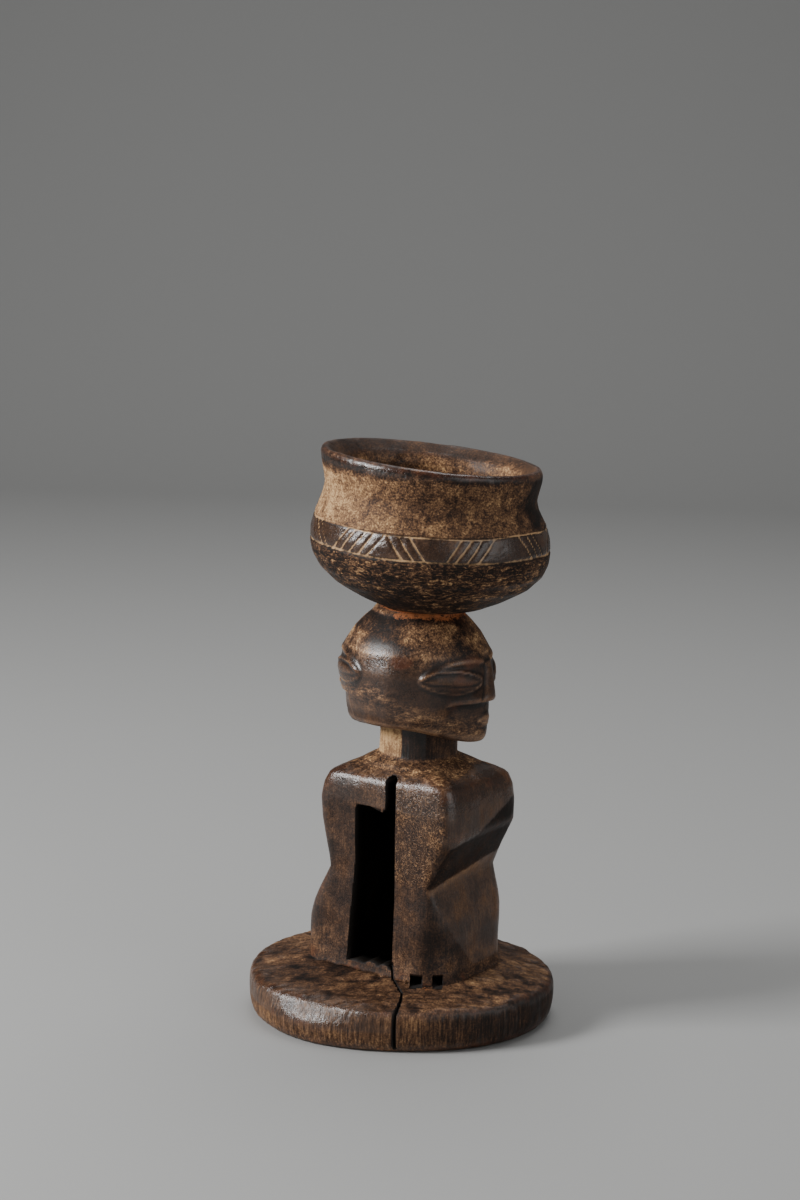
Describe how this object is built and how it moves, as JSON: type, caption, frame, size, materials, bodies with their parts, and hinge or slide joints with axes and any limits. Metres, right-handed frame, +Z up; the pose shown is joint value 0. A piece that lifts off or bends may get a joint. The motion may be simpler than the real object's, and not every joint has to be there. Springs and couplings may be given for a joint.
{
  "type": "carved wooden janus figure with a bowl",
  "caption": "Standing hardwood carving with faces back to back, a slotted hollow trunk on a thick round foot, and an open bowl on the head.",
  "frame": {"origin": "middle of the foot's underside, which is the plane it stands on", "axes": "+Z up, -Y the way one face looks, +Y the way the other looks, -X the side with the slot in the trunk"},
  "size_m": [0.1014, 0.1059, 0.2033],
  "materials": {
    "carved_wood": "old dark hardwood, worn and polished, with dusty deposits"
  },
  "bodies": {
    "root": {"janus_figure": "carved_wood"}
  },
  "joints": []
}
